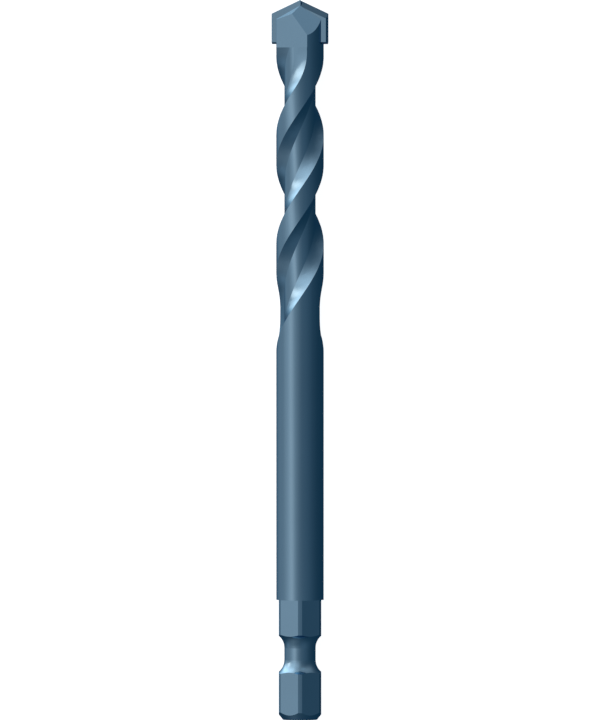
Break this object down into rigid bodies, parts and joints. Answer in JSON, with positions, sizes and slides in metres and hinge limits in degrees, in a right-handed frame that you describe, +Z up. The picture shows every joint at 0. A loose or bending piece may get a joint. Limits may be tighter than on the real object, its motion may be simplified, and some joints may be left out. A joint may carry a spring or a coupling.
{
  "type": "pilot drill bit",
  "caption": "Twist drill bit with a hex shank, a retaining groove, helical flutes that run out into a plain round body, and a brazed carbide plate across the tip.",
  "frame": {"origin": "middle of the bounding box on the floor plane, under the axis of the bit", "axes": "+Y along the bit from the shank to the tip, +Z up from the floor, +X to the right of a person who looks along +Y"},
  "size_m": [0.0084, 0.1076, 0.0071],
  "materials": {
    "drill_body": "satin, blue-grey",
    "carbide_tip": "ground tungsten carbide, blue-grey"
  },
  "bodies": {
    "root": {"drill_body": "drill_body", "carbide_tip": "carbide_tip"}
  },
  "joints": []
}
